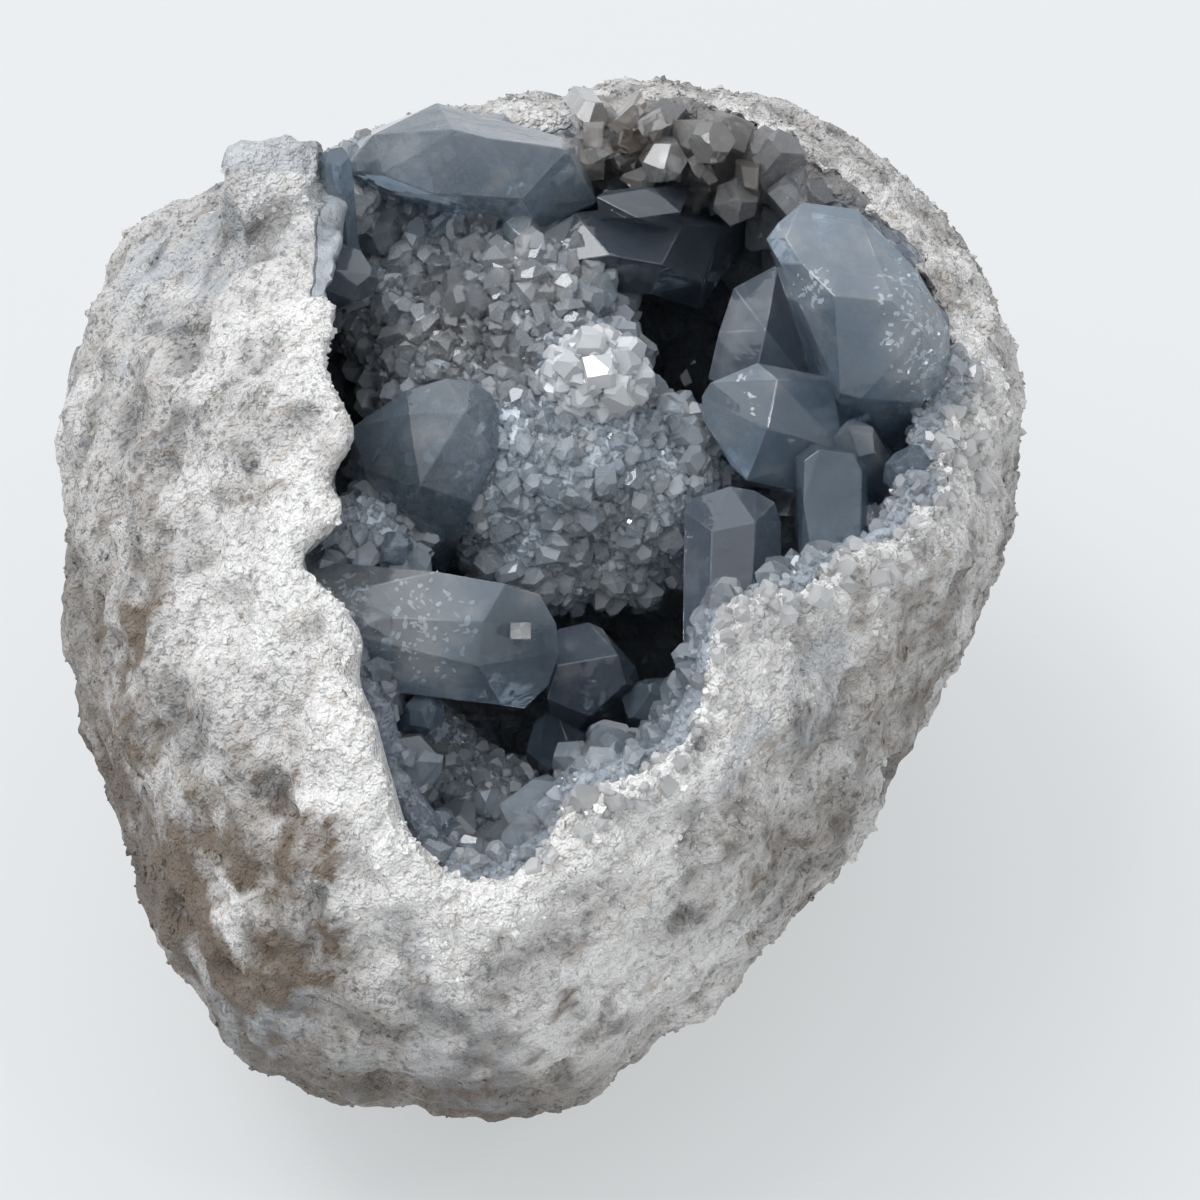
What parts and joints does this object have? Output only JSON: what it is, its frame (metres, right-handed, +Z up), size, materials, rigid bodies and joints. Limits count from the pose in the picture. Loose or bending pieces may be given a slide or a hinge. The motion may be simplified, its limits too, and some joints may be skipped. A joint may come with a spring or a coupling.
{
  "type": "celestite geode",
  "caption": "Egg-shaped nodule of pale rock, broken open at the front and top, its hollow lined with grey-blue celestite crystals. Rests on a small flat spot.",
  "frame": {"origin": "on the table, under the middle of the whole geode", "axes": "+Y runs back along the nodule's length, +Z is up, and the broken mouth looks towards -Y and +Z"},
  "size_m": [0.0972, 0.1148, 0.0892],
  "materials": {
    "weathered_rock": "rough, granular, chalky white near the broken mouth, grey with brown stains elsewhere",
    "celestite": "cloudy grey-blue crystal with glassy flat faces"
  },
  "bodies": {
    "root": {"host_rock": "weathered_rock", "crystal_crust": "celestite"}
  },
  "joints": []
}
